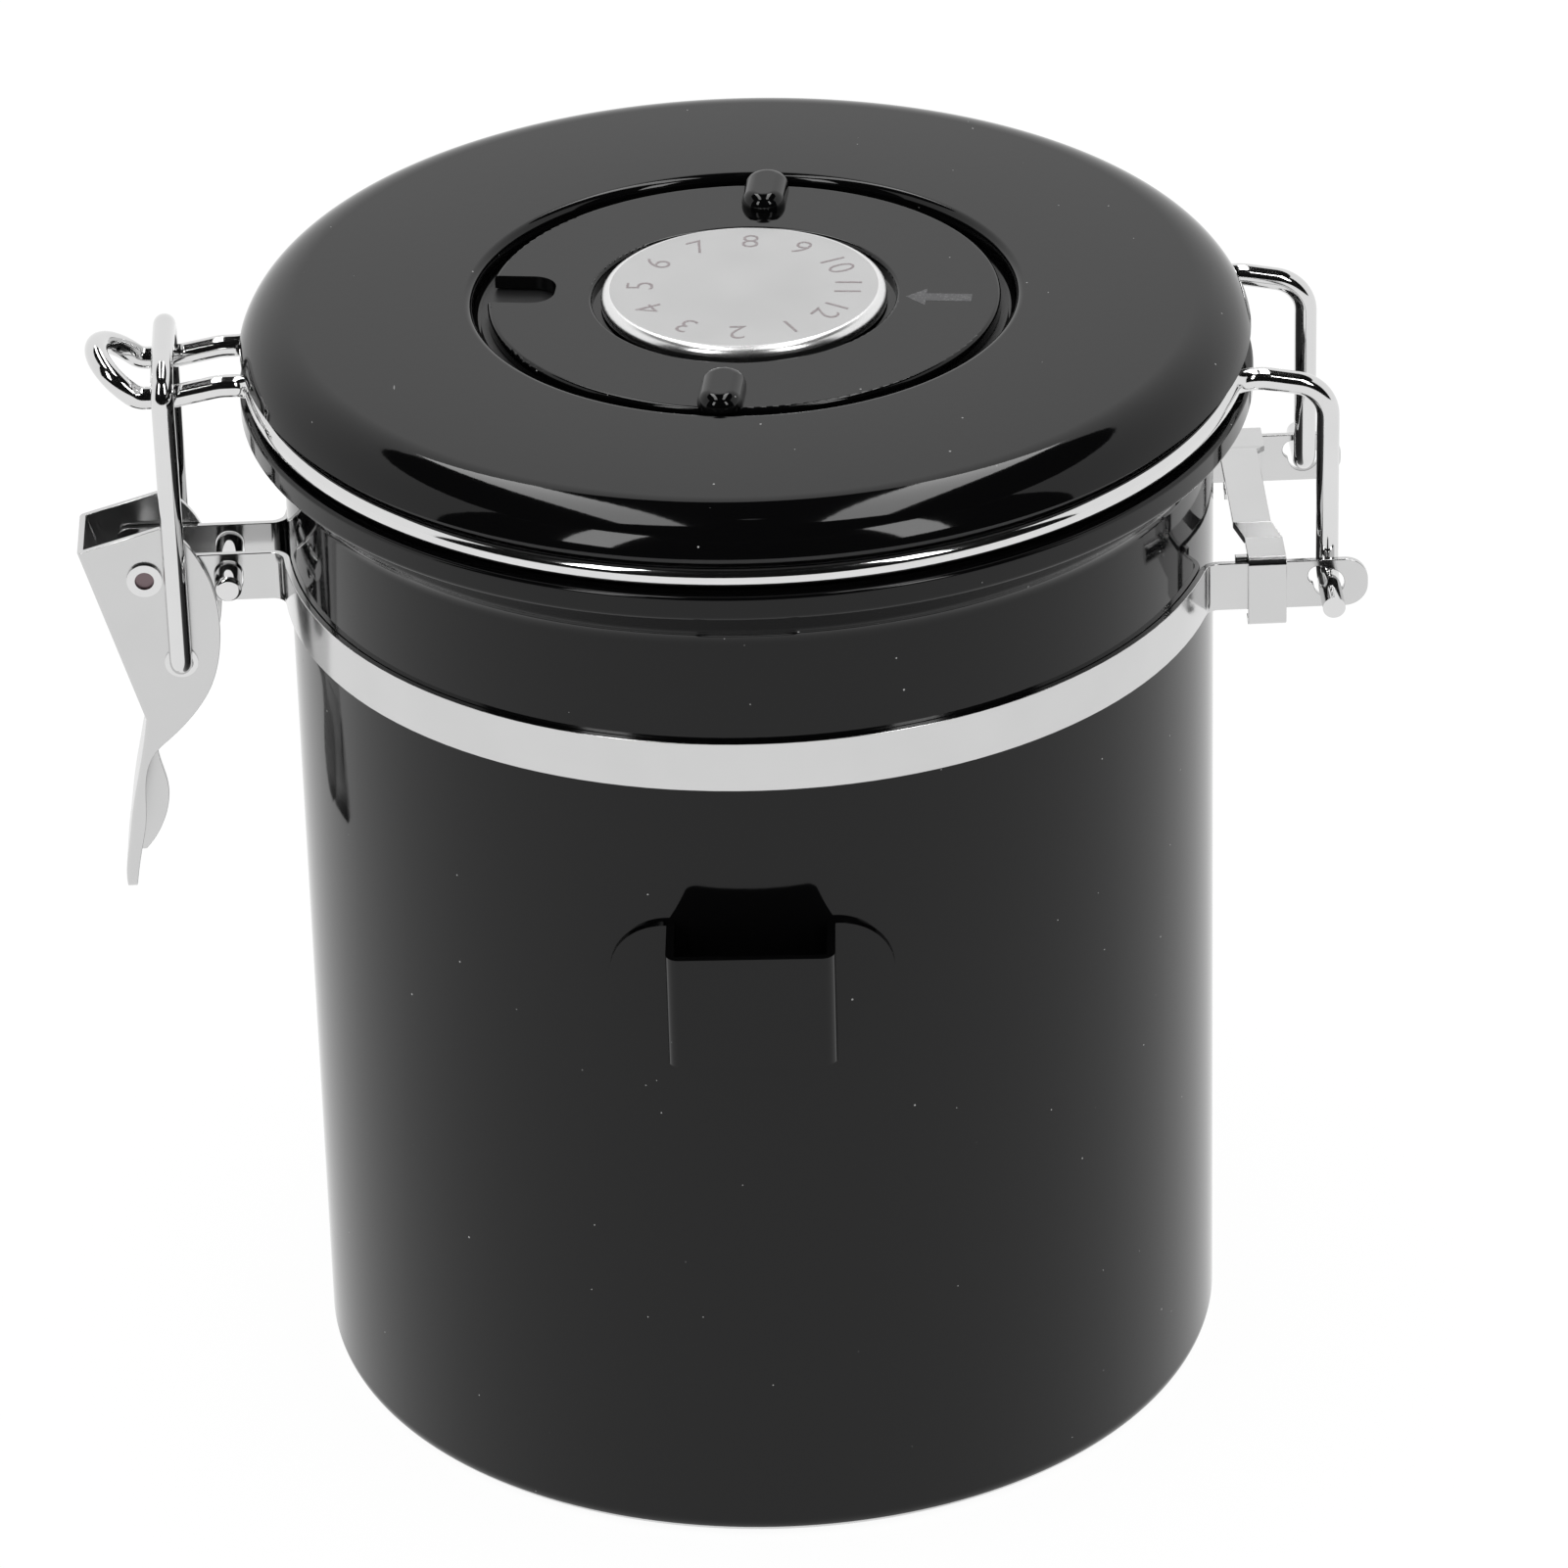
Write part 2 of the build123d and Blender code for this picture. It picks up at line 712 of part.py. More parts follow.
# Dial bed: a plate on the recess ledge, with a hub boss above and screw posts below
with BuildPart() as dial_bed:
    with BuildSketch(Plane.XY.offset(recess_floor)):
        Circle(recess_radius - recess_foot_bend - bed_fit)
    extrude(amount=bed_thickness)
    with BuildSketch(Plane.XY.offset(bed_top)):
        Circle(boss_radius)
    extrude(amount=boss_height)
    with BuildSketch(Plane.XY.offset(plate_top)):
        with PolarLocations(screw_circle, screw_count):
            Circle(post_radius)
    extrude(amount=recess_floor - plate_top)
    with BuildSketch(Plane.XY.offset(plate_top)):
        with PolarLocations(screw_circle, screw_count):
            Circle(screw_radius)
    extrude(amount=bed_top - screw_tip_gap - plate_top, mode=Mode.SUBTRACT)
    with BuildSketch(Plane.XY.offset(recess_floor)):
        Circle(stem_radius + stem_fit)
    extrude(amount=boss_top - recess_floor, mode=Mode.SUBTRACT)
save(dial_bed, "dial_bed")

# Three cross-slotted screws from below
with BuildPart() as lid_screws:
    with BuildSketch(Plane.XY.offset(plate_foot - screw_head_height)):
        with PolarLocations(screw_circle, screw_count):
            Circle(screw_head_radius)
    extrude(amount=screw_head_height)
    with BuildSketch(Plane.XY.offset(plate_foot)):
        with PolarLocations(screw_circle, screw_count):
            Circle(screw_radius)
    extrude(amount=bed_top - screw_tip_gap - plate_foot)
    with BuildSketch(Plane.XY.offset(plate_foot - screw_head_height)):
        with PolarLocations(screw_circle, screw_count):
            Rectangle(2 * screw_radius, screw_recess_width)
            Rectangle(screw_recess_width, 2 * screw_radius)
    extrude(amount=screw_recess_depth, mode=Mode.SUBTRACT)
save(lid_screws, "lid_screws")

# Dial ring: a lipped ring with an open slot at the left and two finger nubs
ring_plane = Plane.XY.rotated((0, 0, dial_turn))
nub_length = nub_outer - nub_inner
nub_middle = (nub_inner + nub_outer) / 2
with BuildPart() as dial_ring:
    with BuildSketch(ring_plane.offset(dial_ring_foot)):
        Circle(dial_ring_radius)
        Circle(dial_ring_lip_bore, mode=Mode.SUBTRACT)
    extrude(amount=dial_ring_top - dial_ring_foot)
    with BuildSketch(ring_plane.offset(dial_ring_foot + dial_ring_lip)):
        Circle(dial_ring_bore)
    extrude(amount=dial_ring_top - dial_ring_foot - dial_ring_lip, mode=Mode.SUBTRACT)
    fillet(dial_ring.faces().sort_by(Axis.Z)[-1].edges(), dial_ring_edge)
    with BuildSketch(ring_plane.offset(dial_ring_foot)) as slot_plan:
        with Locations((-slot_inner, 0)):
            Rectangle(
                dial_ring_radius + overrun - slot_inner, slot_width, align=(Align.MAX, Align.CENTER)
            )
        fillet(slot_plan.vertices().group_by(Axis.X)[-1], slot_corner)
    extrude(amount=dial_ring_top - dial_ring_foot, mode=Mode.SUBTRACT)
    with BuildSketch(ring_plane.offset(dial_ring_top)):
        with Locations((0, nub_middle), (0, -nub_middle)):
            SlotOverall(nub_length, nub_width, rotation=90)
    extrude(amount=nub_height)
    fillet(dial_ring.faces().group_by(Axis.Z)[-1].edges(), nub_round)
save(dial_ring, "dial_ring")

# Month disc: a thick bevelled disc on a stem
stem_foot = plate_top + stem_gap
with BuildPart() as month_disc:
    with BuildSketch(Plane.XY.offset(disc_foot)):
        Circle(disc_radius)
    extrude(amount=disc_top - disc_foot)
    fillet(month_disc.faces().sort_by(Axis.Z)[-1].edges(), disc_edge)
    with BuildSketch(Plane.XY.offset(stem_foot)):
        Circle(stem_radius)
    extrude(amount=disc_foot - stem_foot)
save(month_disc, "month_disc")

# Clip washer pressed on the stem under the dial bed
with BuildPart() as disc_clip:
    with BuildSketch(Plane.XY.offset(recess_floor - disc_clip_gap)):
        Circle(disc_clip_radius)
        Circle(stem_radius, mode=Mode.SUBTRACT)
    extrude(amount=-disc_clip_thickness)
save(disc_clip, "disc_clip")

# Valve levels, counted down from the plate
valve_axis = Plane.XY.shift_origin((-valve_reach, 0, 0))
seat_top = plate_foot - valve_seat_drop
seat_foot = seat_top - valve_seat
cap_foot = seat_top + flap_thickness + flap_travel + flap_spare

# Valve body: neck in the plate, flange under it, and a seat across the bore
with BuildPart() as valve_body:
    with BuildSketch(valve_axis.offset(plate_foot - valve_skirt)):
        Circle(valve_bore + valve_wall)
        Circle(valve_bore, mode=Mode.SUBTRACT)
    extrude(amount=valve_skirt + plate_thickness)
    with BuildSketch(valve_axis.offset(plate_foot - valve_flange)):
        Circle(valve_flange_radius)
        Circle(valve_bore, mode=Mode.SUBTRACT)
    extrude(amount=valve_flange)
    with BuildSketch(valve_axis.offset(seat_foot)):
        Circle(valve_bore)
        with PolarLocations(vent_circle, vent_count):
            Circle(vent_radius, mode=Mode.SUBTRACT)
    extrude(amount=valve_seat)
    with BuildSketch(valve_axis.offset(plate_foot)):
        Circle(oring_radius + oring_section)
        Circle(oring_radius - oring_section, mode=Mode.SUBTRACT)
    extrude(amount=-2 * oring_section, mode=Mode.SUBTRACT)
save(valve_body, "valve_body")

# O-ring between the flange and the plate
with BuildPart() as valve_oring:
    with BuildSketch(Plane.XZ.shift_origin((-valve_reach, 0, 0))):
        with Locations((oring_radius, plate_foot - oring_section)):
            Circle(oring_section)
    revolve(axis=Axis((-valve_reach, 0, 0), (0, 0, 1)))
save(valve_oring, "valve_oring")

# Flap that lies on the seat
with BuildPart() as valve_flap:
    with BuildSketch(valve_axis.offset(seat_top)):
        Circle(flap_radius)
    extrude(amount=flap_thickness)
save(valve_flap, "valve_flap")

# Cap that stops the flap, on a skirt that stands on the seat
with BuildPart() as valve_cap:
    with BuildSketch(valve_axis.offset(seat_top)):
        Circle(valve_bore)
        Circle(valve_bore - cap_wall, mode=Mode.SUBTRACT)
    extrude(amount=cap_foot - seat_top)
    with BuildSketch(valve_axis.offset(cap_foot)):
        Circle(valve_bore)
        with PolarLocations(vent_circle, vent_count):
            Circle(vent_radius, mode=Mode.SUBTRACT)
    extrude(amount=cap_roof)
save(valve_cap, "valve_cap")

# Filter felt under the seat
with BuildPart() as valve_filter:
    with BuildSketch(valve_axis.offset(seat_foot)):
        Circle(valve_bore)
    extrude(amount=-filter_thickness)
save(valve_filter, "valve_filter")

# Grille that holds the filter up
with BuildPart() as valve_grille:
    with BuildSketch(valve_axis.offset(seat_foot - filter_thickness)):
        Circle(valve_bore)
        with PolarLocations(grille_slot_circle, grille_slot_count):
            SlotOverall(grille_slot_length, grille_slot_width, mode=Mode.SUBTRACT)
    extrude(amount=-grille_thickness)
save(valve_grille, "valve_grille")
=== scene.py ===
from math import asin, ceil, cos, pi, radians, sin, sqrt, tan

import bmesh
import bpy
from mathutils import Matrix, Vector


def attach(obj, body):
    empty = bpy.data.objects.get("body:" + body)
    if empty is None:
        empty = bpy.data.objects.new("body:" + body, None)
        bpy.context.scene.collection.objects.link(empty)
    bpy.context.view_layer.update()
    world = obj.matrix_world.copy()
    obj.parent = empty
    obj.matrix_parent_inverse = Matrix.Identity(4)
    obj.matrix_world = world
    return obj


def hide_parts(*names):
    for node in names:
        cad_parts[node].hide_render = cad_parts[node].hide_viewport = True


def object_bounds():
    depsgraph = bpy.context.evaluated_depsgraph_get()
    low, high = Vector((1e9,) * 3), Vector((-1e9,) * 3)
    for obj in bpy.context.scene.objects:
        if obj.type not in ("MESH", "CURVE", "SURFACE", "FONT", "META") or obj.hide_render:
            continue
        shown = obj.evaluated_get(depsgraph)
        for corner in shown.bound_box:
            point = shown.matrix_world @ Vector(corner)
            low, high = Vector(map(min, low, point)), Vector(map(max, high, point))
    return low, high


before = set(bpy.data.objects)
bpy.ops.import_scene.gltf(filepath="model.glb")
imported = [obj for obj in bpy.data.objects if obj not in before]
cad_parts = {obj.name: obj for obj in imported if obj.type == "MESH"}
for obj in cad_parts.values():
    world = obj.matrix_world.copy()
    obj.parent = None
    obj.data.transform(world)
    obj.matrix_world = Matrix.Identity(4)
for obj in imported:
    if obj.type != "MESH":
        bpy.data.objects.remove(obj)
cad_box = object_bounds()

# Coffee canister with a clamp lid and a date dial, seen a little from above.
# Everything is in metres: +Z up, latch at -X, hinge at +X, scoop bracket at -Y.
MM = 0.001

# Canister body and its bracket
body_radius = 57.5 * MM
body_wall = 0.8 * MM
base_corner = 2.5 * MM
neck_height = 127.9 * MM
neck_bend = 3.0 * MM
rim_radius = 62.4 * MM
rim_foot_height = 132.7 * MM
rim_foot_bend = 0.8 * MM
rim_top = 135.5 * MM
rim_bend = 0.45 * MM

# Wires of the latch and the lid
wire_radius = 1.4 * MM
band_height = 110.6 * MM
pivot_reach = 75.4 * MM
pivot_height = 111.3 * MM
pivot_end = 5.95 * MM
pivot_recess_radius = 1.25 * MM
pivot_recess_depth = 0.4 * MM
eyelet_reach = 71.5 * MM
eyelet_height = 99.6 * MM
bail_inner_end = 3.4 * MM
bail_foot_half_width = 7.2 * MM
bail_foot_bend = 1.8 * MM
bail_half_width = 9.6 * MM
bail_top_bend = 3.8 * MM
hook_height = 140.45 * MM
ring_radius = 60.6 * MM
ring_height = 137.6 * MM
loop_height = 136.4 * MM
loop_half_width = 5.6 * MM
loop_merge_bend = 3.0 * MM
loop_drop_shares = (0.15, 0.72)
loop_drop_bend = 7.0 * MM
tip_start = 73.8 * MM
tip_lift_angle = radians(40)
tip_lift_bend = 2.5 * MM
leg_half_width = 14.6 * MM
leg_reach = 70.5 * MM
leg_merge_bend = 4.0 * MM
leg_run = 0.74 * MM
leg_drop = 1.5 * MM
leg_drop_bend = 7.0 * MM
leg_top_bend = 4.6 * MM
leg_foot_bend = 2.4 * MM
leg_end = 24.0 * MM

# Lid cover and date dial
lid_radius = 62.1 * MM
lid_top = 145.1 * MM
lid_wall = 0.8 * MM
lid_flat_radius = 55.2 * MM
lid_edge_height = 140.4 * MM
recess_radius = 33.4 * MM
recess_floor = 141.9 * MM
recess_ledge = 3.4 * MM
recess_edge_bend = 1.0 * MM
recess_foot_bend = 0.9 * MM
disc_radius = 17.6 * MM
disc_foot = 143.9 * MM
disc_top = 145.7 * MM
disc_edge = 1.2 * MM
slight_bend = 0.05 * MM
flat_top_angle = radians(3)
stem_radius = 2.0 * MM
stem_foot = 141.0 * MM
disc_turn = radians(-5.7)
ring_turn = radians(-7.5)
ring_top = 144.7 * MM
number_circle = 12.6 * MM
number_size = 5.0 * MM
number_thinning = 0.07 * MM
print_thickness = 0.03 * MM
arrow_tip = 19.9 * MM
arrow_tail = 28.0 * MM
arrow_head = 2.5 * MM
arrow_head_width = 4.6 * MM
arrow_shaft_width = 2.0 * MM

# Fineness of the meshes
lathe_steps = 192
wire_sides = 32
arc_step = radians(5)
ring_step = radians(2)
merge_distance = 0.002 * MM
same_plane_angle = radians(0.5)
softened_angle = radians(40)
softened_steps = 2
made_sharp_angle = 35
sheet_edge = 0.2 * MM
flat_margin = 0.12 * MM


# Points of profiles and paths

def arc(centre, start_way, end_way, radius, angle, step=arc_step):
    """Points of an arc about a centre that leaves start_way and turns towards end_way."""
    count = max(2, ceil(angle / step))
    turns = [angle * i / count for i in range(count + 1)]
    return [
        Vector(centre) + Vector(start_way) * (radius * cos(t)) + Vector(end_way) * (radius * sin(t))
        for t in turns
    ]


def rounded(corners, bends):
    """Points of straight runs through the corners, with an arc at each inner corner."""
    points = [Vector(corners[0])]
    for before, corner, after, bend in zip(corners, corners[1:], corners[2:], bends):
        corner = Vector(corner)
        back = (Vector(before) - corner).normalized()
        ahead = (Vector(after) - corner).normalized()
        turn = pi - back.angle(ahead)
        reach = bend * tan(turn / 2)
        start = corner + back * reach
        end = corner + ahead * reach
        centre = corner + (back + ahead).normalized() * (bend / cos(turn / 2))
        if (Vector(before) - corner).length > reach + 2 * flat_margin:
            points.append(start + back * flat_margin)
        count = max(2, ceil(turn / arc_step))
        for i in range(count + 1):
            share = i / count
            spread = (start - centre) * sin((1 - share) * turn) + (end - centre) * sin(share * turn)
            points.append(centre + spread / sin(turn))
        if (Vector(after) - corner).length > reach + 2 * flat_margin:
            points.append(end + ahead * flat_margin)
    points.append(Vector(corners[-1]))
    return points


def without_repeats(points):
    """The same points, less those that lie on the one before."""
    kept = [points[0]]
    for point in points[1:]:
        if (point - kept[-1]).length > merge_distance:
            kept.append(point)
    return kept


def walled(line, wall):
    """A closed profile: a line of (reach, height) points and its offset to the right."""
    inner = []
    for i, point in enumerate(line):
        along = line[min(i + 1, len(line) - 1)] - line[max(i - 1, 0)]
        along.normalize()
        inner.append(point + Vector((along.y, -along.x)) * wall)
    return line + inner[::-1] + [line[0]]


def turned_outwards(profile):
    """The profile in the order that makes a lathed surface face outwards."""
    area = sum(a.x * b.y - b.x * a.y for a, b in zip(profile, profile[1:] + profile[:1]))
    return profile if area > 0 else profile[::-1]


# Objects

def add_object(name, mesh):
    """Link a new object at the origin."""
    piece = bpy.data.objects.new(name, mesh)
    bpy.context.scene.collection.objects.link(piece)
    return piece


def line_mesh(name, points):
    """A mesh of points joined by edges, for a node tree to build on."""
    mesh = bpy.data.meshes.new(name)
    mesh.from_pydata([tuple(p) for p in points], [(i, i + 1) for i in range(len(points) - 1)], [])
    return mesh


def smooth(mesh, angle):
    """Shade a mesh smooth, with sharp edges past the angle."""
    mesh.shade_smooth()
    mesh.set_sharp_from_angle(angle=radians(angle))


def plain_mesh(piece, angle):
    """Turn a piece's modifiers into its mesh."""
    bpy.context.view_layer.update()
    evaluated = piece.evaluated_get(bpy.context.evaluated_depsgraph_get())
    mesh = bpy.data.meshes.new_from_object(evaluated)
    piece.modifiers.clear()
    piece.data = mesh
    smooth(mesh, angle)


def grown(piece, tree, inputs):
    """Run a node tree on a piece and keep the result as a plain mesh."""
    modifier = piece.modifiers.new("shape", "NODES")
    modifier.node_group = tree
    sockets = {s.name: s.identifier for s in tree.interface.items_tree if s.in_out == "INPUT"}
    for name, value in inputs.items():
        modifier[sockets[name]] = value
    plain_mesh(piece, made_sharp_angle)
    return piece


def fitted(piece, body, slot, *nodes):
    """A piece rides on its body and hides the nodes it stands for; the slot is not used."""
    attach(piece, body)
    if nodes:
        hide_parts(*nodes)


# Node trees

def add_node(tree, kind, inputs=None, **settings):
    """A node with its settings, and with its inputs linked or set."""
    node = tree.nodes.new(kind)
    for name, value in settings.items():
        setattr(node, name, value)
    for name, value in (inputs or {}).items():
        if isinstance(name, str):
            socket = next(s for s in node.inputs if s.name == name and s.enabled)
        else:
            socket = node.inputs[name]
        if isinstance(value, bpy.types.NodeSocket):
            tree.links.new(value, socket)
        else:
            socket.default_value = value
    return node


def first_output(node):
    """The node's first socket in use."""
    return next(s for s in node.outputs if s.enabled)


def maths(tree, operation, *values):
    """A maths node's result."""
    return first_output(
        add_node(tree, "ShaderNodeMath", dict(enumerate(values)), operation=operation)
    )


def new_shape_tree(name, sizes):
    """A geometry tree with named sizes. Returns the tree and its group input node."""
    tree = bpy.data.node_groups.new(name, "GeometryNodeTree")
    tree.interface.new_socket("Geometry", in_out="INPUT", socket_type="NodeSocketGeometry")
    for size, kind in sizes.items():
        tree.interface.new_socket(size, in_out="INPUT", socket_type=kind)
    tree.interface.new_socket("Material", in_out="INPUT", socket_type="NodeSocketMaterial")
    tree.interface.new_socket("Geometry", in_out="OUTPUT", socket_type="NodeSocketGeometry")
    return tree, tree.nodes.new("NodeGroupInput")


def close_shape_tree(tree, given, geometry):
    """End a geometry tree in realized instances and the material."""
    real = add_node(tree, "GeometryNodeRealizeInstances", {"Geometry": geometry})
    dressed = add_node(
        tree,
        "GeometryNodeSetMaterial",
        {"Geometry": first_output(real), "Material": given.outputs["Material"]},
    )
    add_node(tree, "NodeGroupOutput", {0: first_output(dressed)})
    return tree


def lathe_tree():
    """Turns a profile of (reach, height) points about the upright axis."""
    tree, given = new_shape_tree(
        "lathe", {"Steps": "NodeSocketInt", "Merge Distance": "NodeSocketFloat"}
    )
    size = add_node(
        tree,
        "GeometryNodeAttributeDomainSize",
        {"Geometry": given.outputs["Geometry"]},
        component="MESH",
    )
    points = size.outputs["Point Count"]
    columns = maths(tree, "ADD", given.outputs["Steps"], 1)
    grid = add_node(tree, "GeometryNodeMeshGrid", {"Vertices X": columns, "Vertices Y": points})
    index = first_output(add_node(tree, "GeometryNodeInputIndex"))
    row = maths(tree, "MODULO", index, points)
    column = maths(tree, "FLOOR", maths(tree, "DIVIDE", index, points))
    place = add_node(
        tree,
        "GeometryNodeSampleIndex",
        {
            "Geometry": given.outputs["Geometry"],
            "Value": first_output(add_node(tree, "GeometryNodeInputPosition")),
            "Index": row,
        },
        data_type="FLOAT_VECTOR",
        domain="POINT",
    )
    split = add_node(tree, "ShaderNodeSeparateXYZ", {0: first_output(place)})
    turn = maths(tree, "MULTIPLY", maths(tree, "DIVIDE", column, given.outputs["Steps"]), 2 * pi)
    spot = add_node(
        tree,
        "ShaderNodeCombineXYZ",
        {
            "X": maths(tree, "MULTIPLY", split.outputs["X"], maths(tree, "COSINE", turn)),
            "Y": maths(tree, "MULTIPLY", split.outputs["X"], maths(tree, "SINE", turn)),
            "Z": split.outputs["Z"],
        },
    )
    placed = add_node(
        tree,
        "GeometryNodeSetPosition",
        {"Geometry": grid.outputs["Mesh"], "Position": first_output(spot)},
    )
    merged = add_node(
        tree,
        "GeometryNodeMergeByDistance",
        {"Geometry": first_output(placed), "Distance": given.outputs["Merge Distance"]},
    )
    return close_shape_tree(tree, given, first_output(merged))


def wire_tree():
    """Sweeps a round section along a line of points."""
    tree, given = new_shape_tree(
        "bent_wire", {"Sides": "NodeSocketInt", "Wire Radius": "NodeSocketFloat"}
    )
    path = add_node(tree, "GeometryNodeMeshToCurve", {"Mesh": given.outputs["Geometry"]})
    section = add_node(
        tree,
        "GeometryNodeCurvePrimitiveCircle",
        {"Resolution": given.outputs["Sides"], "Radius": given.outputs["Wire Radius"]},
        mode="RADIUS",
    )
    swept = add_node(
        tree,
        "GeometryNodeCurveToMesh",
        {"Curve": first_output(path), "Profile Curve": first_output(section), "Fill Caps": True},
    )
    return close_shape_tree(tree, given, first_output(swept))


# Effects that several finishes share

def new_effect(name, numbers, outputs):
    """A shader group with number inputs. Returns the tree and its group input node."""
    tree = bpy.data.node_groups.new(name, "ShaderNodeTree")
    for number, value in numbers.items():
        socket = tree.interface.new_socket(number, in_out="INPUT", socket_type="NodeSocketFloat")
        socket.default_value = value
    for output in outputs:
        tree.interface.new_socket(output, in_out="OUTPUT", socket_type="NodeSocketFloat")
    return tree, tree.nodes.new("NodeGroupInput")


def dust_effect():
    """Lone dust specks and short hairline scratches, as one mask."""
    tree, given = new_effect(
        "dust", {"Scale": 330.0, "Speck": 0.05, "Share": 0.5, "Scratch": 0.03}, ["Mask"]
    )
    place = add_node(tree, "ShaderNodeTexCoord").outputs["Object"]
    cells = add_node(
        tree, "ShaderNodeTexVoronoi", {"Vector": place, "Scale": given.outputs["Scale"]}
    )
    chance = add_node(tree, "ShaderNodeSeparateColor", {0: cells.outputs["Color"]})
    chosen = maths(tree, "LESS_THAN", chance.outputs[0], given.outputs["Share"])
    size = maths(tree, "MULTIPLY", given.outputs["Speck"], chance.outputs[1])
    speck = maths(tree, "LESS_THAN", cells.outputs["Distance"], size)
    masks = [maths(tree, "MULTIPLY", speck, chosen)]
    for turn, stretch in ((0.5, 0.12), (1.9, 0.16)):
        slanted = add_node(
            tree,
            "ShaderNodeMapping",
            {"Vector": place, "Rotation": (0, turn, turn), "Scale": (1, stretch, 1)},
        )
        lines = add_node(
            tree,
            "ShaderNodeTexVoronoi",
            {"Vector": first_output(slanted), "Scale": given.outputs["Scale"]},
        )
        chance = add_node(tree, "ShaderNodeSeparateColor", {0: lines.outputs["Color"]})
        rare = maths(tree, "LESS_THAN", chance.outputs[0], 0.12)
        line = maths(tree, "LESS_THAN", lines.outputs["Distance"], given.outputs["Scratch"])
        masks.append(maths(tree, "MULTIPLY", maths(tree, "MULTIPLY", line, rare), 0.6))
    mask = maths(tree, "MAXIMUM", maths(tree, "MAXIMUM", masks[0], masks[1]), masks[2])
    add_node(tree, "NodeGroupOutput", {0: mask})
    return tree


def grain_effect():
    """Fine drawn grain along one way, with broad smudges."""
    tree, given = new_effect("grain", {"Fine": 9000.0, "Along": 0.02}, ["Streaks", "Smudge"])
    place = add_node(tree, "ShaderNodeTexCoord").outputs["Object"]
    along = add_node(
        tree,
        "ShaderNodeCombineXYZ",
        {0: given.outputs["Along"], 1: given.outputs["Along"], 2: 1.0},
    )
    stretched = add_node(
        tree,
        "ShaderNodeVectorMath",
        {0: place, 1: first_output(along)},
        operation="MULTIPLY",
    )
    streaks = add_node(
        tree,
        "ShaderNodeTexNoise",
        {"Vector": first_output(stretched), "Scale": given.outputs["Fine"], "Detail": 2.0},
    )
    smudge = add_node(
        tree, "ShaderNodeTexNoise", {"Vector": place, "Scale": 90.0, "Detail": 3.0}
    )
    add_node(
        tree, "NodeGroupOutput", {0: first_output(streaks), 1: first_output(smudge)}
    )
    return tree


dust = dust_effect()
grain = grain_effect()


# Finishes

def new_finish(name, values):
    """A material with plain values on its shader. Returns the material, tree and shader."""
    finish = bpy.data.materials.new(name)
    finish.use_nodes = True
    tree = finish.node_tree
    shader = tree.nodes["Principled BSDF"]
    for socket, value in values.items():
        shader.inputs[socket].default_value = value
    return finish, tree, shader


def use_effect(tree, effect, numbers=None):
    """Place a shared effect in a material."""
    node = tree.nodes.new("ShaderNodeGroup")
    node.node_tree = effect
    for name, value in (numbers or {}).items():
        node.inputs[name].default_value = value
    return node


def between(tree, factor, low, high):
    """A number that runs from low to high with the factor."""
    return first_output(
        add_node(tree, "ShaderNodeMapRange", {"Value": factor, "To Min": low, "To Max": high})
    )


def mixed(tree, factor, first, second):
    """A colour between two colours."""
    node = add_node(
        tree,
        "ShaderNodeMix",
        {"Factor": factor, "A": (*first, 1), "B": (*second, 1)},
        data_type="RGBA",
    )
    return first_output(node)


def bumped(tree, shader, height, distance, strength):
    """Give the shader a relief."""
    bump = add_node(
        tree, "ShaderNodeBump", {"Height": height, "Distance": distance, "Strength": strength}
    )
    tree.links.new(bump.outputs["Normal"], shader.inputs["Normal"])


def black_lacquer(name, dust_share, rough):
    """Glossy black lacquer with a few dust specks and hairlines."""
    finish, tree, shader = new_finish(name, {"IOR": 1.35})
    specks = use_effect(tree, dust, {"Share": dust_share})
    smudges = use_effect(tree, grain)
    mask = specks.outputs["Mask"]
    tree.links.new(mixed(tree, mask, (0.0028, 0.0028, 0.003), (0.5, 0.5, 0.5)), shader.inputs[0])
    gloss = between(tree, smudges.outputs["Smudge"], rough * 0.8, rough * 1.3)
    tree.links.new(
        maths(tree, "MAXIMUM", gloss, maths(tree, "MULTIPLY", mask, 0.8)),
        shader.inputs["Roughness"],
    )
    peel = add_node(tree, "ShaderNodeTexNoise", {"Scale": 700.0, "Detail": 1.0})
    tree.links.new(
        add_node(tree, "ShaderNodeTexCoord").outputs["Object"], peel.inputs["Vector"]
    )
    bumped(tree, shader, first_output(peel), 0.01 * MM, 0.25)
    return finish


def bare_metal(name, tint, rough, streak_share, fine=9000.0):
    """Chrome or steel, with grain and smudges in its gloss."""
    finish, tree, shader = new_finish(name, {"Metallic": 1.0})
    marks = use_effect(tree, grain, {"Fine": fine})
    tone = mixed(
        tree, marks.outputs["Smudge"], [c * 0.93 for c in tint], [min(1, c * 1.05) for c in tint]
    )
    tree.links.new(tone, shader.inputs["Base Color"])
    tree.links.new(
        between(tree, marks.outputs["Smudge"], rough * 0.75, rough * 1.3),
        shader.inputs["Roughness"],
    )
    bumped(tree, shader, marks.outputs["Streaks"], 0.004 * MM, streak_share)
    return finish


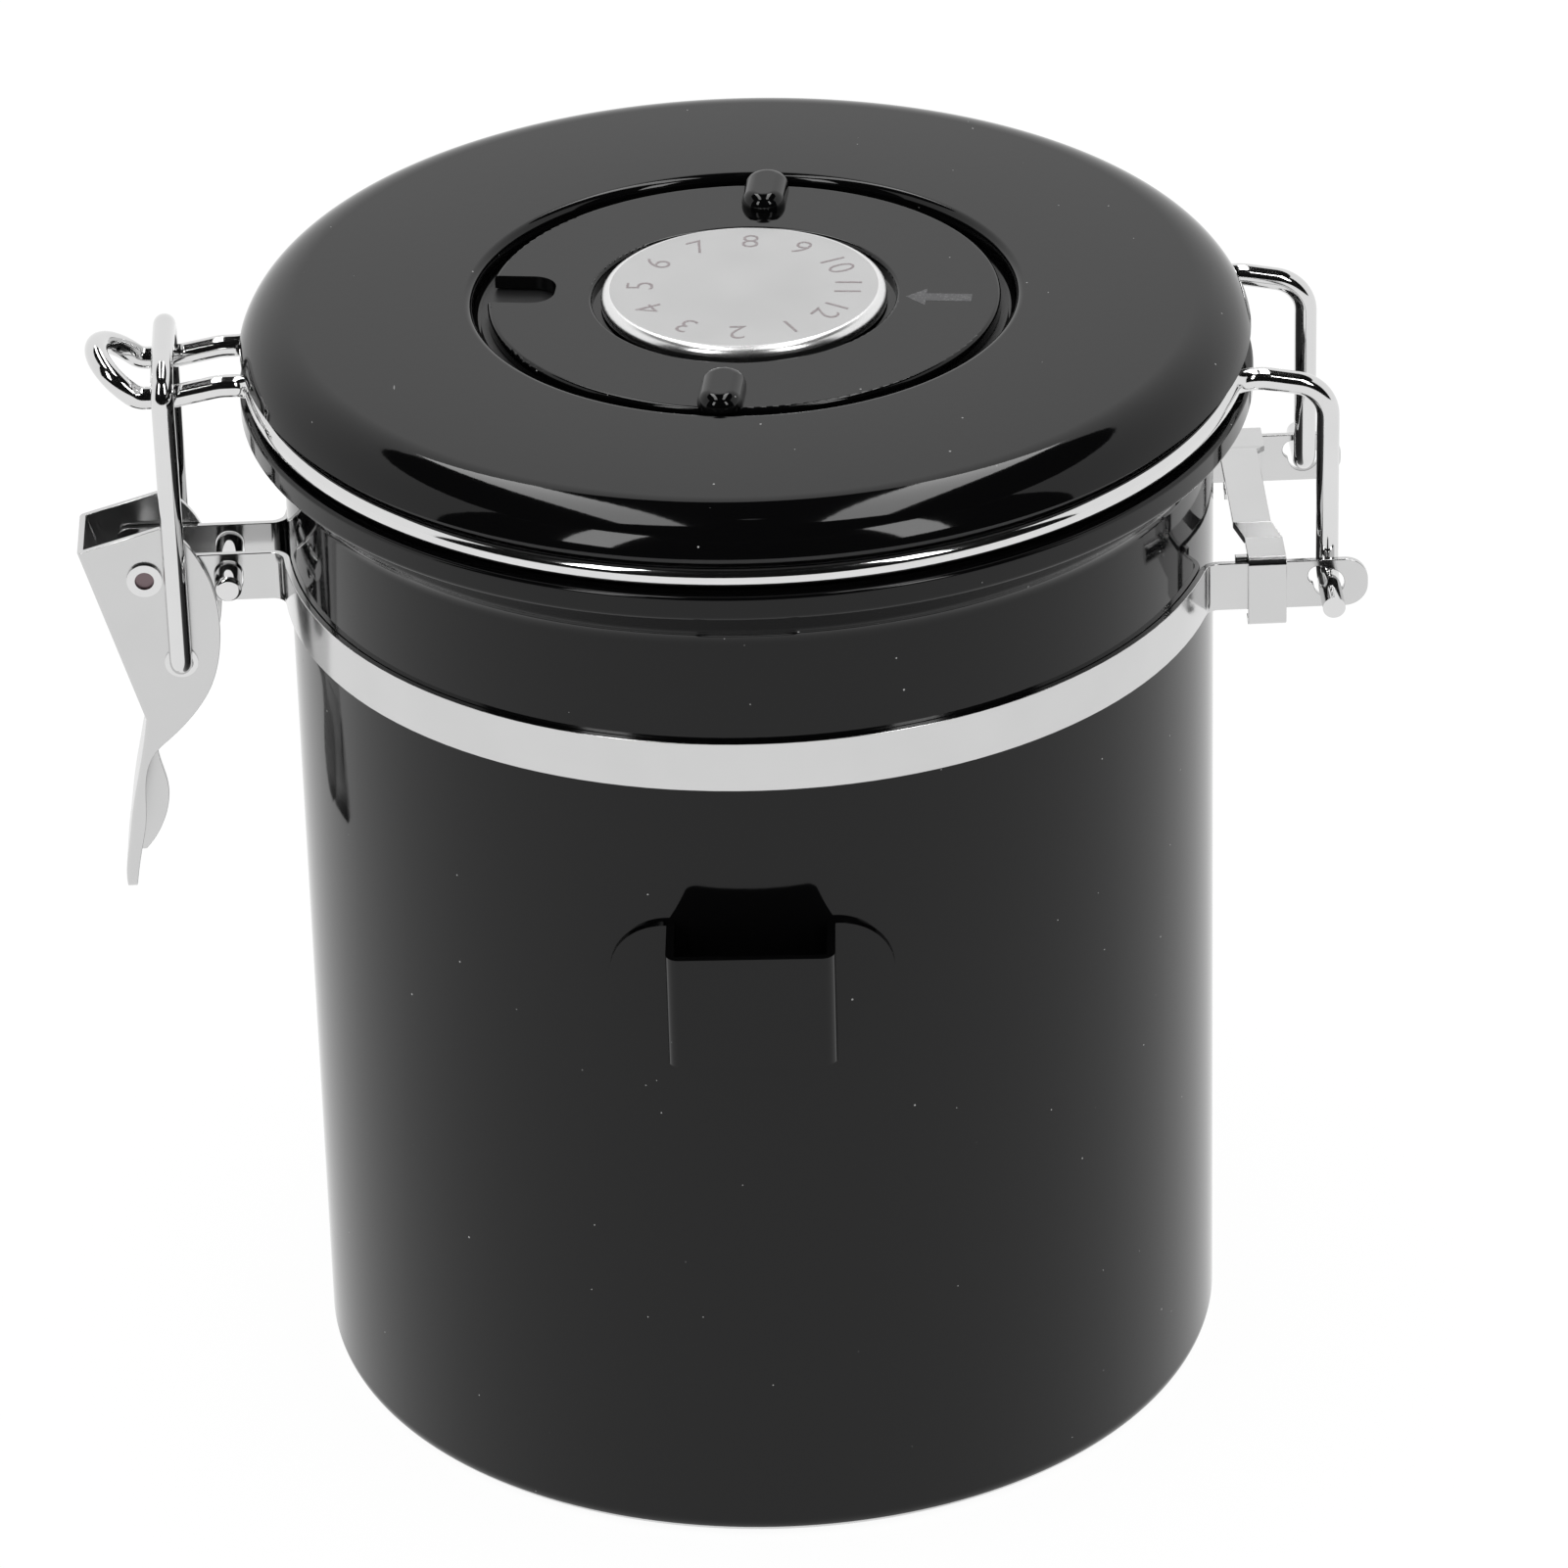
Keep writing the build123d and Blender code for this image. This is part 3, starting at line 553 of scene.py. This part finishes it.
def moulded(name, colour, rough, texture_scale):
    """Plastic or rubber with a fine moulded texture."""
    finish, tree, shader = new_finish(name, {"IOR": 1.45})
    marks = use_effect(tree, grain)
    tone = mixed(
        tree, marks.outputs["Smudge"], [c * 0.9 for c in colour], [c * 1.08 for c in colour]
    )
    tree.links.new(tone, shader.inputs["Base Color"])
    tree.links.new(
        between(tree, marks.outputs["Smudge"], rough * 0.85, rough * 1.15),
        shader.inputs["Roughness"],
    )
    skin = add_node(tree, "ShaderNodeTexNoise", {"Scale": texture_scale, "Detail": 2.0})
    tree.links.new(
        add_node(tree, "ShaderNodeTexCoord").outputs["Object"], skin.inputs["Vector"]
    )
    bumped(tree, shader, first_output(skin), 0.03 * MM, 0.3)
    return finish


def worn_print(name, colour, bare, wear):
    """Printed or etched marks, thin in places."""
    finish, tree, shader = new_finish(name, {"IOR": 1.4})
    speckle = add_node(tree, "ShaderNodeTexNoise", {"Scale": 5200.0, "Detail": 3.0})
    tree.links.new(
        add_node(tree, "ShaderNodeTexCoord").outputs["Object"], speckle.inputs["Vector"]
    )
    thin = maths(tree, "GREATER_THAN", first_output(speckle), wear)
    tree.links.new(mixed(tree, thin, colour, bare), shader.inputs["Base Color"])
    tree.links.new(between(tree, thin, 0.6, 0.35), shader.inputs["Roughness"])
    return finish


lacquer = black_lacquer("black_lacquer", 0.5, 0.06)
lid_lacquer = black_lacquer("lid_lacquer", 0.6, 0.05)
chrome = bare_metal("clamp_chrome", (0.7, 0.7, 0.7), 0.07, 0.05)
disc_polish = bare_metal("disc_polish", (0.8, 0.8, 0.8), 0.25, 0.2)
satin_strip = bare_metal("satin_strip", (0.62, 0.62, 0.62), 0.14, 0.2)
lever_sheet = bare_metal("lever_sheet", (0.62, 0.62, 0.62), 0.2, 0.2)
bare_steel = bare_metal("inside_steel", (0.62, 0.62, 0.62), 0.28, 0.3)
disc_satin = bare_metal("disc_satin", (0.5, 0.5, 0.5), 0.42, 0.5, 14000.0)
# Dark metal for the rivet's end recesses: painted shade in the hollow.
recess_painted_shade = bare_metal("rivet_recess", (0.2, 0.15, 0.16), 0.35, 0.2)
lid_plastic = moulded("lid_plastic", (0.02, 0.02, 0.021), 0.45, 2500.0)
silicone = moulded("silicone", (0.62, 0.62, 0.6), 0.5, 1200.0)
valve_plastic = moulded("valve_plastic", (0.75, 0.75, 0.73), 0.35, 2500.0)
felt = moulded("filter_felt", (0.62, 0.58, 0.52), 0.9, 6000.0)
number_ink = worn_print("number_ink", (0.38, 0.33, 0.34), (0.46, 0.42, 0.43), 0.56)
arrow_ink = worn_print("arrow_ink", (0.115, 0.115, 0.12), (0.2, 0.2, 0.2), 0.6)

turning = lathe_tree()
bending = wire_tree()


def lathed(name, profile, finish):
    """A turned piece from its closed profile of (reach, height) points."""
    points = turned_outwards(without_repeats(profile))
    piece = add_object(name, line_mesh(name, [(p.x, 0, p.y) for p in points]))
    return grown(
        piece,
        turning,
        {"Steps": lathe_steps, "Merge Distance": merge_distance, "Material": finish},
    )


def bent(name, half_path, finish):
    """A wire whose second half mirrors the first."""
    half = without_repeats(half_path)
    other = [Vector((p.x, -p.y, p.z)) for p in reversed(half[:-1])]
    piece = add_object(name, line_mesh(name, half + other))
    return grown(
        piece, bending, {"Sides": wire_sides, "Wire Radius": wire_radius, "Material": finish}
    )


def second_finish(piece, finish, chosen):
    """Give the faces that a test picks another finish."""
    piece.data.materials.append(finish)
    added = len(piece.data.materials) - 1
    for face in piece.data.polygons:
        if chosen(face):
            face.material_index = added


def smooth_copy(node, name, finish, edge=0.0, angle=30):
    """A merged, smooth-shaded copy of a node, with softened edges where asked."""
    mesh = bpy.data.meshes.new(name)
    shape = bmesh.new()
    shape.from_mesh(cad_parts[node].data)
    bmesh.ops.remove_doubles(shape, verts=shape.verts, dist=merge_distance)
    bmesh.ops.dissolve_limit(
        shape, angle_limit=same_plane_angle, verts=shape.verts, edges=shape.edges
    )
    shape.to_mesh(mesh)
    shape.free()
    if "custom_normal" in mesh.attributes:
        mesh.attributes.remove(mesh.attributes["custom_normal"])
    mesh.materials.clear()
    mesh.materials.append(finish)
    for face in mesh.polygons:
        face.material_index = 0
    smooth(mesh, angle)
    piece = add_object(name, mesh)
    if edge:
        soft = piece.modifiers.new("soft_edge", "BEVEL")
        soft.width = edge
        soft.segments = softened_steps
        soft.limit_method = "ANGLE"
        soft.angle_limit = softened_angle
        soft.harden_normals = True
    weighted = piece.modifiers.new("flat_faces", "WEIGHTED_NORMAL")
    weighted.keep_sharp = True
    return piece


# Canister shell, black outside and bare steel inside
shell_corners = [
    (0, 0),
    (body_radius, 0),
    (body_radius, neck_height),
    (rim_radius, rim_foot_height),
    (rim_radius, rim_top),
    (body_radius - body_wall, rim_top),
    (body_radius - body_wall, body_wall),
    (0, body_wall),
]
shell_bends = [base_corner, neck_bend, rim_foot_bend, rim_bend, rim_bend, base_corner - body_wall]
shell = lathed("canister_shell", rounded(shell_corners, shell_bends), lacquer)


def inside(face):
    """True for the faces of the shell's inner wall and floor."""
    reach = Vector((face.center.x, face.center.y)).length
    return reach < body_radius - body_wall / 2 and face.center.z > body_wall / 2


second_finish(shell, bare_steel, inside)
fitted(shell, "canister", "black_steel", "canister_body")

# Lid cover
edge_radius = (
    (lid_radius - lid_flat_radius) ** 2 + (lid_top - lid_edge_height) ** 2
) / (2 * (lid_top - lid_edge_height))
edge_angle = asin((lid_radius - lid_flat_radius) / edge_radius)
cover_line = rounded(
    [
        (recess_radius - recess_ledge, recess_floor),
        (recess_radius, recess_floor),
        (recess_radius, lid_top),
        (lid_flat_radius, lid_top),
    ],
    [recess_foot_bend, recess_edge_bend],
) + arc((lid_flat_radius, lid_top - edge_radius), (0, 1), (1, 0), edge_radius, edge_angle)
cover = lathed("lid_shell", walled(without_repeats(cover_line), lid_wall), lid_lacquer)
fitted(cover, "lid", "black_steel", "lid_cover")

# Month disc: satin top, polished edge, and its stem
disc_corners = [
    (0, stem_foot),
    (stem_radius, stem_foot),
    (stem_radius, disc_foot),
    (disc_radius, disc_foot),
    (disc_radius, disc_top),
    (0, disc_top),
]
disc_line = rounded(disc_corners, [slight_bend, slight_bend, slight_bend, disc_edge])
disc = lathed("turned_disc", disc_line, disc_polish)
second_finish(disc, disc_satin, lambda face: face.normal.z > cos(flat_top_angle))
fitted(disc, "month_disc", "dial_steel", "month_disc")


def flat_text(word, size):
    """A word as a thin flat mesh in the XY plane, centred on the origin."""
    letters = bpy.data.curves.new(word, "FONT")
    letters.body = word
    letters.size = size
    letters.align_x = "CENTER"
    letters.align_y = "CENTER"
    letters.offset = -number_thinning
    letters.extrude = print_thickness / 2
    holder = add_object(word, letters)
    bpy.context.view_layer.update()
    evaluated = holder.evaluated_get(bpy.context.evaluated_depsgraph_get())
    mesh = bpy.data.meshes.new_from_object(evaluated)
    bpy.data.objects.remove(holder)
    return mesh


def month_numbers():
    """Numbers 1 to 12 round the disc, their tops outwards, with 8 at the back."""
    marks = bmesh.new()
    for number in range(1, 13):
        mesh = flat_text(str(number), number_size)
        turn = disc_turn - radians(30) * (number - 8)
        place = Matrix.Rotation(turn, 4, "Z") @ Matrix.Translation(
            (0, number_circle, disc_top + print_thickness / 4)
        )
        mesh.transform(place)
        marks.from_mesh(mesh)
    mesh = bpy.data.meshes.new("month_numbers")
    marks.to_mesh(mesh)
    marks.free()
    mesh.materials.clear()
    mesh.materials.append(number_ink)
    return add_object("month_numbers", mesh)


fitted(month_numbers(), "month_disc", "dial_steel")

# Dial ring and its arrow
ring = smooth_copy("dial_ring", "ring_shell", lid_lacquer)
fitted(ring, "dial_ring", "black_steel", "dial_ring")


def ring_arrow():
    """A thin arrow on the ring that points at the disc."""
    half_head = arrow_head_width / 2
    half_shaft = arrow_shaft_width / 2
    neck = arrow_tip + arrow_head
    outline = [
        (arrow_tip, 0),
        (neck, -half_head),
        (neck, -half_shaft),
        (arrow_tail, -half_shaft),
        (arrow_tail, half_shaft),
        (neck, half_shaft),
        (neck, half_head),
    ]
    shape = bmesh.new()
    face = shape.faces.new([shape.verts.new((x, y, ring_top)) for x, y in outline])
    lifted = bmesh.ops.extrude_face_region(shape, geom=[face])
    top = [item for item in lifted["geom"] if isinstance(item, bmesh.types.BMVert)]
    bmesh.ops.translate(shape, verts=top, vec=(0, 0, print_thickness / 2))
    bmesh.ops.recalc_face_normals(shape, faces=shape.faces)
    mesh = bpy.data.meshes.new("ring_arrow")
    shape.to_mesh(mesh)
    shape.free()
    mesh.transform(Matrix.Rotation(ring_turn, 4, "Z"))
    mesh.materials.append(arrow_ink)
    return add_object("ring_arrow", mesh)


fitted(ring_arrow(), "dial_ring", "black_steel")

# Bail wire
bail_corners = [
    (-eyelet_reach, -bail_inner_end, eyelet_height),
    (-eyelet_reach, -bail_foot_half_width, eyelet_height),
    (-eyelet_reach, -bail_half_width, hook_height),
    (-eyelet_reach, 0, hook_height),
]
bail = bent("bail_wire", rounded(bail_corners, [bail_foot_bend, bail_top_bend]), chrome)
fitted(bail, "latch_bail", "clamp_chrome", "latch_bail")


def lid_wire_half():
    """Hinge end, leg, ring, catch loop and lifted tip, up to the middle of the loop."""
    leg_side = leg_half_width + leg_merge_bend
    loop_side = loop_half_width + loop_merge_bend
    leg_swing = asin(leg_side / (ring_radius + leg_merge_bend))
    loop_swing = asin(loop_side / (ring_radius + loop_merge_bend))
    leg_merge = (ring_radius + leg_merge_bend) * cos(leg_swing)
    loop_merge = (ring_radius + loop_merge_bend) * cos(loop_swing)
    drop_height = ring_height - leg_drop
    points = rounded(
        [
            (leg_reach, -leg_end, band_height),
            (leg_reach, -leg_half_width, band_height),
            (leg_reach, -leg_half_width, drop_height),
            (leg_merge + leg_run, -leg_half_width, ring_height),
            (leg_merge, -leg_half_width, ring_height),
        ],
        [leg_foot_bend, leg_top_bend, leg_drop_bend],
    )
    points += arc(
        (leg_merge, -leg_side, ring_height), (0, 1, 0), (-1, 0, 0), leg_merge_bend, pi / 2 - leg_swing
    )
    points += arc(
        (0, 0, ring_height),
        (cos(leg_swing), -sin(leg_swing), 0),
        (-sin(leg_swing), -cos(leg_swing), 0),
        ring_radius,
        pi - leg_swing - loop_swing,
        ring_step,
    )
    points += arc(
        (-loop_merge, -loop_side, ring_height),
        (cos(loop_swing), sin(loop_swing), 0),
        (-sin(loop_swing), cos(loop_swing), 0),
        loop_merge_bend,
        pi / 2 - loop_swing,
    )
    loop_run = tip_start - loop_merge
    slope_start, slope_end = (loop_merge + share * loop_run for share in loop_drop_shares)
    points += rounded(
        [
            (-loop_merge, -loop_half_width, ring_height),
            (-slope_start, -loop_half_width, ring_height),
            (-slope_end, -loop_half_width, loop_height),
            (-tip_start, -loop_half_width, loop_height),
        ],
        [loop_drop_bend, loop_drop_bend],
    )
    points += arc(
        (-tip_start, -loop_half_width, loop_height + tip_lift_bend),
        (0, 0, -1),
        (-1, 0, 0),
        tip_lift_bend,
        tip_lift_angle,
    )
    points += arc(
        points[-1] + Vector((0, loop_half_width, 0)),
        (0, -1, 0),
        (-cos(tip_lift_angle), 0, sin(tip_lift_angle)),
        loop_half_width,
        pi / 2,
    )
    return points


lid_hoop = bent("lid_hoop", lid_wire_half(), chrome)
fitted(lid_hoop, "lid", "clamp_chrome", "lid_wire")

def in_rivet_recess(face):
    """True for the faces of the shallow recess in each end of the lever's rivet."""
    reach = Vector((face.center.x + pivot_reach, face.center.z - pivot_height)).length
    depth = pivot_end - abs(face.center.y)
    return reach < pivot_recess_radius and merge_distance < depth < 1.05 * pivot_recess_depth


# Sheet metal and small parts keep their built shape, merged and softened
sheet_parts = {
    "scoop_bracket": ("canister", "black_steel", lacquer, sheet_edge),
    "band_front": ("canister", "band_steel", satin_strip, sheet_edge),
    "band_rear": ("canister", "band_steel", satin_strip, sheet_edge),
    "hinge_clip": ("canister", "band_steel", satin_strip, sheet_edge),
    "tension_pin": ("canister", "clamp_chrome", chrome, 0.0),
    "lever_pivot": ("canister", "clamp_chrome", chrome, 0.0),
    "latch_lever": ("latch_lever", "clamp_chrome", lever_sheet, sheet_edge),
    "bail_eyelets": ("latch_lever", "clamp_chrome", chrome, 0.0),
}
for node, (body, slot, finish, edge) in sheet_parts.items():
    copy = smooth_copy(node, node + "_dressed", finish, edge)
    if node == "lever_pivot":
        # The recess faces take the dark finish, which is painted shade.
        second_finish(copy, recess_painted_shade, in_rivet_recess)
    fitted(copy, body, slot, node)

# What only shows with the lid open keeps its own mesh
node_finishes = {
    "lid_base": lid_plastic,
    "lid_gasket": silicone,
    "lid_screws": chrome,
    "dial_bed": lid_plastic,
    "disc_clip": bare_steel,
    "valve_body": valve_plastic,
    "valve_filter": felt,
    "valve_grille": valve_plastic,
    "valve_flap": silicone,
    "valve_cap": valve_plastic,
    "valve_oring": silicone,
}
for node, finish in node_finishes.items():
    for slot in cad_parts[node].material_slots:
        slot.material = finish

# Floor, soft lights and the dark dome of the studio
floor_size = 8.0
floor_gap = 0.1 * MM
floor_tone = 0.9
floor_glow = 1.05
floor_glow_share = 0.9
world_lighting = 0.8
dome_tone = 0.01
dome_columns = 48
dome_rows = 12
dome_radius = 3.0
front_span = radians(72)
front_low = radians(3)
dome_low = radians(48)
dome_high = radians(89)
strip_place = (0.42, 0.6, 1.8)
strip_size = (0.3, 2.0)
softbox_reach = 1.5
softbox_size = (0.35, 0.9)
softbox_bearing = radians(38)
softbox_height = 1.35
softbox_power = 8.0
strip_power = 12.0


def seen_directly(tree):
    """1 for camera, glossy and transmission rays, so that reflections show the backdrop."""
    rays = add_node(tree, "ShaderNodeLightPath").outputs
    both = maths(tree, "MAXIMUM", rays["Is Camera Ray"], rays["Is Glossy Ray"])
    return maths(tree, "MAXIMUM", both, rays["Is Transmission Ray"])


def white_world(lighting):
    """White behind the object, and a softer grey where it lights."""
    world = bpy.data.worlds.new("studio")
    world.use_nodes = True
    tree = world.node_tree
    backdrop = tree.nodes["Background"]
    backdrop.inputs["Color"].default_value = (1, 1, 1, 1)
    tree.links.new(between(tree, seen_directly(tree), lighting, 1.0), backdrop.inputs["Strength"])
    bpy.context.scene.world = world


def studio_floor():
    """A pale floor that is white where it is lit and keeps the object's shadow."""
    level = cad_box[0][2] - floor_gap
    mesh = bpy.data.meshes.new("floor")
    half = floor_size / 2
    corners = [(-half, -half, level), (half, -half, level), (half, half, level), (-half, half, level)]
    mesh.from_pydata(corners, [], [(0, 1, 2, 3)])
    finish, tree, shader = new_finish("floor_paper", {"Roughness": 0.9, "IOR": 1.1})
    shader.inputs["Base Color"].default_value = (floor_tone, floor_tone, floor_tone, 1)
    glow = add_node(
        tree, "ShaderNodeEmission", {"Color": (1, 1, 1, 1), "Strength": floor_glow}
    )
    share = maths(tree, "MULTIPLY", seen_directly(tree), floor_glow_share)
    blend = add_node(
        tree, "ShaderNodeMixShader", {0: share, 1: shader.outputs[0], 2: glow.outputs[0]}
    )
    output = tree.nodes["Material Output"]
    tree.links.new(blend.outputs[0], output.inputs["Surface"])
    mesh.materials.append(finish)
    add_object("floor", mesh)


def dark_patch(shape, span, low, high):
    """A patch of the dome, between two heights and as far to each side as its span."""
    made = bmesh.ops.create_grid(
        shape, x_segments=dome_columns, y_segments=dome_rows, size=1.0
    )
    for vert in made["verts"]:
        side = vert.co.x * span
        rise = low + (vert.co.y + 1) / 2 * (high - low)
        vert.co = Vector((sin(side) * cos(rise), -cos(side) * cos(rise), sin(rise))) * dome_radius


def dark_dome():
    """A black dome overhead and in front of the object, seen only in its gloss."""
    mesh = bpy.data.meshes.new("dark_dome")
    shape = bmesh.new()
    dark_patch(shape, front_span, front_low, dome_low)
    dark_patch(shape, pi, dome_low, dome_high)
    shape.to_mesh(mesh)
    shape.free()
    finish, tree, shader = new_finish("dome_black", {"Roughness": 1.0, "IOR": 1.0})
    shader.inputs["Base Color"].default_value = (dome_tone, dome_tone, dome_tone, 1)
    mesh.materials.append(finish)
    dome = add_object("dark_dome", mesh)
    dome.visible_camera = False
    dome.visible_diffuse = False
    dome.visible_shadow = False


def soft_light(name, place, aim, size, power):
    """A rectangular soft light aimed at a point."""
    light = bpy.data.lights.new(name, "AREA")
    light.shape = "RECTANGLE"
    light.size, light.size_y = size
    light.energy = power
    lamp = bpy.data.objects.new(name, light)
    bpy.context.scene.collection.objects.link(lamp)
    lamp.location = place
    lamp.visible_diffuse = False
    lamp.rotation_euler = (Vector(aim) - Vector(place)).to_track_quat("-Z", "Y").to_euler()


white_world(world_lighting)
studio_floor()
dark_dome()
for side in (-1, 1):
    bearing = softbox_bearing * side
    spot = (softbox_reach * sin(bearing), -softbox_reach * cos(bearing), softbox_height)
    soft_light("softbox", spot, (0, 0, lid_top), softbox_size, softbox_power)
    across, back, above = strip_place
    below = (side * across, back, 0)
    soft_light("strip", (side * across, back, above), below, strip_size, strip_power)

# Camera at the photograph's angle
camera_place = Vector((-0.0208, -0.9178, 0.589))
camera_heading = radians(1.50)
camera_pitch = radians(-29.213)
camera_roll = radians(-1.583)
camera_lens = 190.6
camera_sensor = 36


def photo_camera():
    """The camera, from its place, heading, pitch and roll."""
    data = bpy.data.cameras.new("photo_camera")
    data.lens = camera_lens
    data.sensor_width = camera_sensor
    camera = bpy.data.objects.new("photo_camera", data)
    bpy.context.scene.collection.objects.link(camera)
    ahead = Vector((
        sin(camera_heading) * cos(camera_pitch),
        cos(camera_heading) * cos(camera_pitch),
        sin(camera_pitch),
    ))
    level = Vector((cos(camera_heading), -sin(camera_heading), 0))
    upward = level.cross(ahead)
    right = level * cos(camera_roll) + upward * sin(camera_roll)
    top = right.cross(ahead)
    turn = Matrix((right, top, -ahead)).transposed().to_4x4()
    camera.matrix_world = Matrix.Translation(camera_place) @ turn
    bpy.context.scene.camera = camera


photo_camera()
bpy.context.scene.view_settings.view_transform = "Standard"
